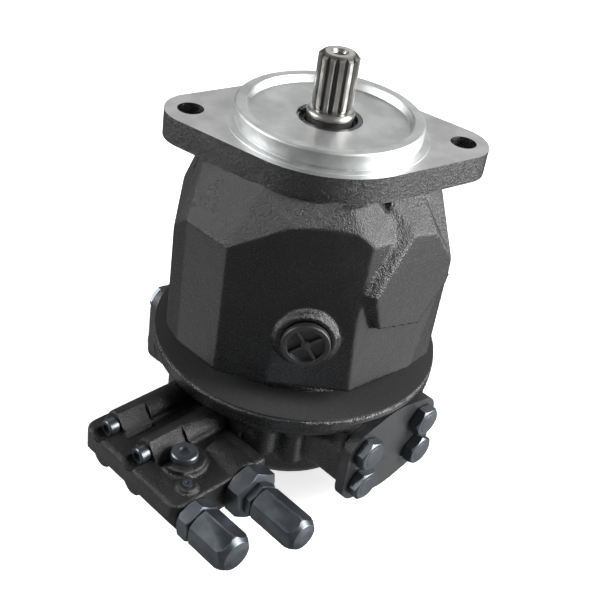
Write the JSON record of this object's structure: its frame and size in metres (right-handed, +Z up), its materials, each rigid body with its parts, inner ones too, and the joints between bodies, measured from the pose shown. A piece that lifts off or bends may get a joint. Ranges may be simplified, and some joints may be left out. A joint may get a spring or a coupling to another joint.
{
  "type": "axial piston pump",
  "caption": "Variable axial piston pump: two-bolt pilot flange, splined drive shaft, ribbed cast housing, rear port plate with flanged side ports and a side control valve with hex adjusters.",
  "frame": {"origin": "centre of the port plate's flat rear face, on the drive shaft's axis, the lowest point of the pump stood on that face", "axes": "+Z up the drive shaft towards its splined end, +X along the line of the two flange bolt holes, +Y completes a right-handed frame; the pressure port faces 45 degrees between +X and -Y"},
  "size_m": [0.1972, 0.2482, 0.2473],
  "materials": {
    "black_paint": "black satin paint over rough sand casting",
    "machined_iron": "machined cast iron",
    "bright_steel": "ground bright steel",
    "dark_steel": "black steel, thin paint",
    "bronze": "bearing bronze",
    "seal_rubber": "nitrile rubber",
    "plug_plastic": "black moulded plug",
    "gasket_fibre": "compressed fibre gasket"
  },
  "bodies": {
    "housing": {"housing": "black_paint", "port_plate": "black_paint", "housing_gasket": "gasket_fibre", "shaft_seal": "seal_rubber", "seal_snap_ring": "dark_steel", "front_bearing_cup": "bright_steel", "rear_bearing_cup": "bright_steel", "cradle_bearing_1": "bronze", "cradle_bearing_2": "bronze", "valve_plate": "bronze", "swashplate": "machined_iron", "control_piston": "bright_steel", "bias_piston": "bright_steel", "drain_plug_front": "plug_plastic", "drain_plug_rear": "plug_plastic", "b_port_cover": "black_paint", "s_port_cover": "black_paint", "b_port_bolt_1": "dark_steel", "b_port_bolt_2": "dark_steel", "b_port_bolt_3": "dark_steel", "b_port_bolt_4": "dark_steel", "s_port_bolt_1": "dark_steel", "s_port_bolt_2": "dark_steel", "s_port_bolt_3": "dark_steel", "s_port_bolt_4": "dark_steel", "valve_body": "black_paint", "valve_screw_1": "dark_steel", "valve_screw_2": "dark_steel", "x_port_plug": "dark_steel", "flow_adjuster_body": "dark_steel", "pressure_adjuster_body": "dark_steel"},
    "rotating_group": {"drive_shaft": "bright_steel", "front_bearing_cone": "bright_steel", "rear_bearing_cone": "bright_steel", "cylinder_barrel": "bright_steel", "ball_guide": "bright_steel", "retaining_plate": "bright_steel", "piston_1": "bright_steel", "piston_2": "bright_steel", "piston_3": "bright_steel", "piston_4": "bright_steel", "piston_5": "bright_steel", "piston_6": "bright_steel", "piston_7": "bright_steel", "piston_8": "bright_steel", "piston_9": "bright_steel", "slipper_1": "bronze", "slipper_2": "bronze", "slipper_3": "bronze", "slipper_4": "bronze", "slipper_5": "bronze", "slipper_6": "bronze", "slipper_7": "bronze", "slipper_8": "bronze", "slipper_9": "bronze"},
    "flow_spool": {"flow_spool": "bright_steel"},
    "pressure_spool": {"pressure_spool": "bright_steel"},
    "flow_adjuster": {"flow_adjuster_cap": "dark_steel"},
    "pressure_adjuster": {"pressure_adjuster_cap": "dark_steel"}
  },
  "joints": [
    {"name": "shaft_spin", "type": "hinge", "parent": "housing", "child": "rotating_group", "pos_m": [0, 0, 0.206], "axis": [0, 0, 1], "continuous": true},
    {"name": "flow_spool_slide", "type": "slide", "parent": "housing", "child": "flow_spool", "axis": [0.7071, -0.7071, 0], "range_m": [-0.0025, 0.0025]},
    {"name": "pressure_spool_slide", "type": "slide", "parent": "housing", "child": "pressure_spool", "axis": [0.7071, -0.7071, 0], "range_m": [-0.0025, 0.0025]},
    {"name": "flow_adjuster_turn", "type": "hinge", "parent": "housing", "child": "flow_adjuster", "pos_m": [-0.03818, -0.13718, 0.038], "axis": [0.7071, -0.7071, 0], "range_deg": [-180, 180]},
    {"name": "pressure_adjuster_turn", "type": "hinge", "parent": "housing", "child": "pressure_adjuster", "pos_m": [-0.00919, -0.11526, 0.038], "axis": [0.7071, -0.7071, 0], "range_deg": [-180, 180]}
  ]
}
